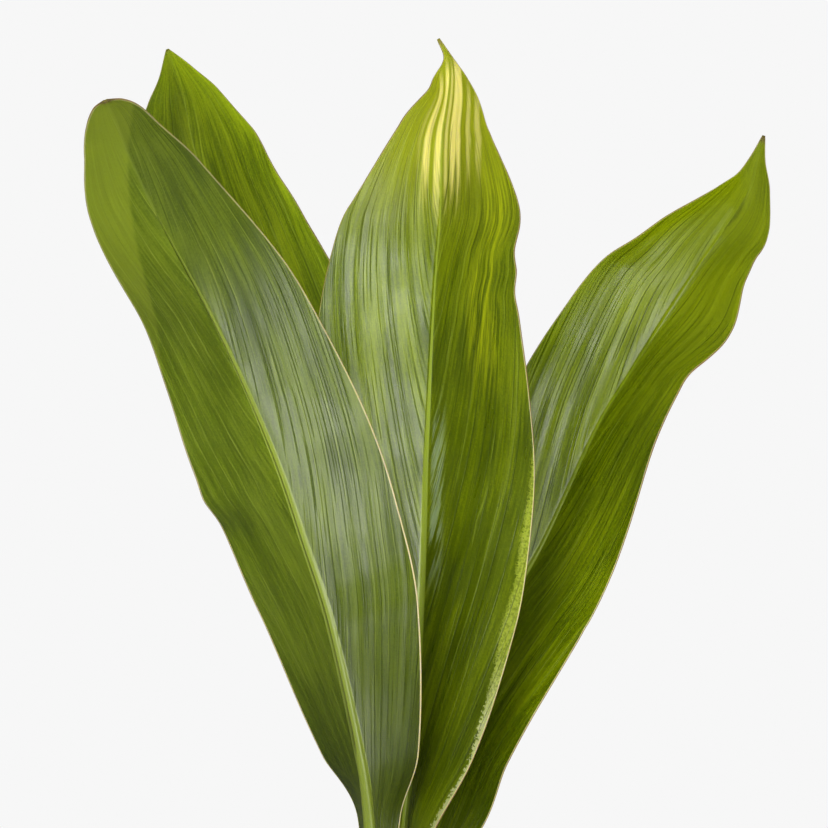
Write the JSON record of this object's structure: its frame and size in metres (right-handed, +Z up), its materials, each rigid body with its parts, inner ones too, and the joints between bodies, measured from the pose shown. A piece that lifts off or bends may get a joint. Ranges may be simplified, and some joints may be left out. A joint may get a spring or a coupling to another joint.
{
  "type": "potted cordyline",
  "caption": "Cordyline houseplant: broad folded green leaves with waved margins on a short ringed cane, in soil in a plain tapered clay pot.",
  "frame": {"origin": "centre of the pot's flat base, on the surface that it stands on", "axes": "+Z up along the pot's axis, -Y towards the viewer of the picture, +X to that viewer's right"},
  "size_m": [0.3526, 0.3432, 0.7523],
  "materials": {
    "clay": "unglazed fired clay, dry and matte",
    "potting_mix": "loose dark potting mix, matte",
    "bark": "dull grey-brown cane with ring scars",
    "leaf": "waxy green leaf with a soft sheen, fine veins and a thin pale margin"
  },
  "bodies": {
    "root": {"pot": "clay", "soil": "potting_mix", "stem": "bark", "leaf_front_left": "leaf", "leaf_back_left": "leaf", "leaf_centre": "leaf", "leaf_right": "leaf"}
  },
  "joints": []
}
